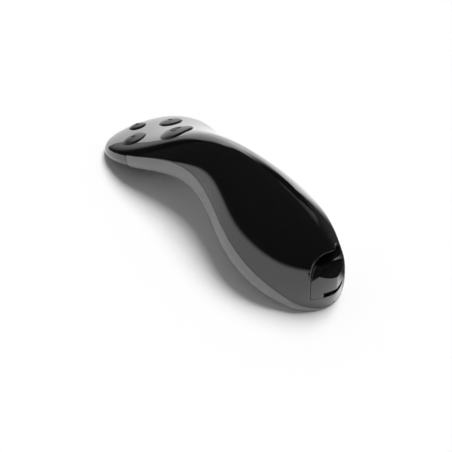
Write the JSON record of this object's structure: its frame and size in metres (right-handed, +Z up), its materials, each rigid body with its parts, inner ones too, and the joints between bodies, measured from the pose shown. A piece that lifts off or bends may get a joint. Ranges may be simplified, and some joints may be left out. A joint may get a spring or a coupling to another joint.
{
  "type": "wireless presentation clicker",
  "caption": "Arched handheld presentation clicker with domed round buttons, a laser nose and a receiver stowed in its tail.",
  "frame": {"origin": "centre of the footprint's bounding box, on the table", "axes": "+Y from the tail, where the receiver is stowed, to the head with the buttons; +Z up from the table; X across, symmetric"},
  "size_m": [0.047, 0.1364, 0.0389],
  "materials": {
    "gloss_black": "polished",
    "button_gloss": "silky gloss",
    "satin_graphite": "satin",
    "smoked_window": "polished, smoke tinted",
    "inner_plastic": "moulded",
    "circuit_board": "solder mask",
    "chip_black": "moulded",
    "lamp_plastic": "clear",
    "spring_steel": "plated",
    "tinned_steel": "plated",
    "screw_steel": "blackened",
    "barrel_brass": "turned",
    "contact_gold": "gold plated",
    "lens_glass": "clear",
    "cell_jacket": "printed sleeve, left plain",
    "lead_jacket": "moulded"
  },
  "bodies": {
    "body": {"upper_shell": "gloss_black", "lower_shell": "satin_graphite", "nose_window": "smoked_window", "receiver_bay": "inner_plastic", "dock_switch": "inner_plastic", "main_board": "circuit_board", "snap_domes": "spring_steel", "radio_shield": "tinned_steel", "controller_chip": "chip_black", "status_led": "lamp_plastic", "laser_barrel": "barrel_brass", "laser_lens": "lens_glass", "laser_mount": "inner_plastic", "battery_tray": "inner_plastic", "aaa_cells": "cell_jacket", "cell_springs": "spring_steel", "terminal_plates": "spring_steel", "link_plate": "spring_steel", "battery_leads": "lead_jacket", "case_screws": "screw_steel"},
    "receiver": {"receiver_case": "gloss_black", "receiver_back": "inner_plastic", "usb_plug_shell": "tinned_steel", "usb_tongue": "inner_plastic", "usb_contacts": "contact_gold", "receiver_board": "circuit_board", "receiver_chip": "chip_black"},
    "battery_door": {"battery_door": "satin_graphite"},
    "laser_button": {"laser_button": "button_gloss"},
    "previous_button": {"previous_button": "button_gloss"},
    "next_button": {"next_button": "button_gloss"},
    "blank_screen_button": {"blank_screen_button": "button_gloss"}
  },
  "joints": [
    {"name": "laser_button_press", "type": "slide", "parent": "body", "child": "laser_button", "axis": [0, -0.4305, -0.9026], "range_m": [0, 0.0004], "stiffness_N_per_m": 3500},
    {"name": "previous_button_press", "type": "slide", "parent": "body", "child": "previous_button", "axis": [0.1008, -0.4105, -0.9063], "range_m": [0, 0.0004], "stiffness_N_per_m": 3500},
    {"name": "next_button_press", "type": "slide", "parent": "body", "child": "next_button", "axis": [-0.1008, -0.4105, -0.9063], "range_m": [0, 0.0004], "stiffness_N_per_m": 3500},
    {"name": "blank_screen_button_press", "type": "slide", "parent": "body", "child": "blank_screen_button", "axis": [0, -0.4964, -0.8681], "range_m": [0, 0.0004], "stiffness_N_per_m": 3500},
    {"name": "receiver_pull", "type": "slide", "parent": "body", "child": "receiver", "axis": [0, -1, 0], "range_m": [0, 0.024]},
    {"name": "battery_door_swing", "type": "hinge", "parent": "body", "child": "battery_door", "pos_m": [0, 0.01323, 0.01103], "axis": [1, 0, 0], "range_deg": [0, 55]}
  ]
}
